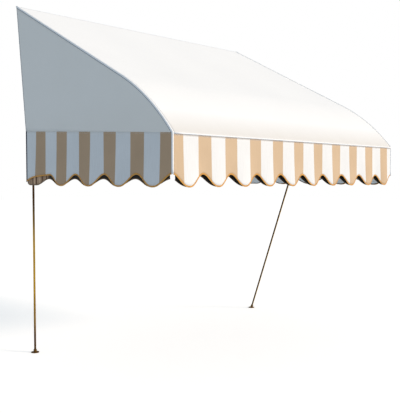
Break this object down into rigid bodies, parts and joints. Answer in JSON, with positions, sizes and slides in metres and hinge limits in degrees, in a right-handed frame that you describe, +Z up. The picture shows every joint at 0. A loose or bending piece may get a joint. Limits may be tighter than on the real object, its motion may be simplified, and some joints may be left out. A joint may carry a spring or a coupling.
{
  "type": "shopfront awning",
  "caption": "Fixed wedge awning: canvas roof bent over a tube frame, closed wings, striped scalloped valance and two slender brass prop poles.",
  "frame": {"origin": "centre line of the middle head bracket on the back face of its wall plate, level with the axis of the head rail", "axes": "+Y into the wall, +Z up, +X along the wall, to the right for someone facing the wall"},
  "size_m": [3.0354, 2.153, 3.1689],
  "materials": {
    "frame_paint": "satin",
    "bracket_paint": "satin",
    "brass": "polished",
    "plug": "matte",
    "canvas_white": "woven",
    "canvas_striped": "woven, white and beige stripes",
    "binding_gold": "woven braid",
    "piping_white": "woven"
  },
  "bodies": {
    "root": {"head_rail": "frame_paint", "front_bar": "frame_paint", "lower_rear_rail": "frame_paint", "left_side_rail": "frame_paint", "right_side_rail": "frame_paint", "left_upright": "frame_paint", "right_upright": "frame_paint", "left_end_rib": "frame_paint", "right_end_rib": "frame_paint", "rafter_1": "frame_paint", "rafter_2": "frame_paint", "head_bracket_1": "bracket_paint", "head_bracket_2": "bracket_paint", "head_bracket_3": "bracket_paint", "head_bracket_4": "bracket_paint", "head_bracket_5": "bracket_paint", "stand_off_bracket_1": "bracket_paint", "stand_off_bracket_2": "bracket_paint", "stand_off_bracket_3": "bracket_paint", "left_pole": "brass", "right_pole": "brass", "left_pole_saddle": "brass", "right_pole_saddle": "brass", "left_pole_foot": "brass", "right_pole_foot": "brass", "left_rail_plug": "plug", "right_rail_plug": "plug", "roof_cover": "canvas_white", "left_wing": "canvas_white", "right_wing": "canvas_white", "front_valance": "canvas_striped", "left_valance": "canvas_striped", "right_valance": "canvas_striped", "front_binding": "binding_gold", "left_binding": "binding_gold", "right_binding": "binding_gold", "left_piping": "piping_white", "right_piping": "piping_white", "front_bead": "piping_white"}
  },
  "joints": []
}
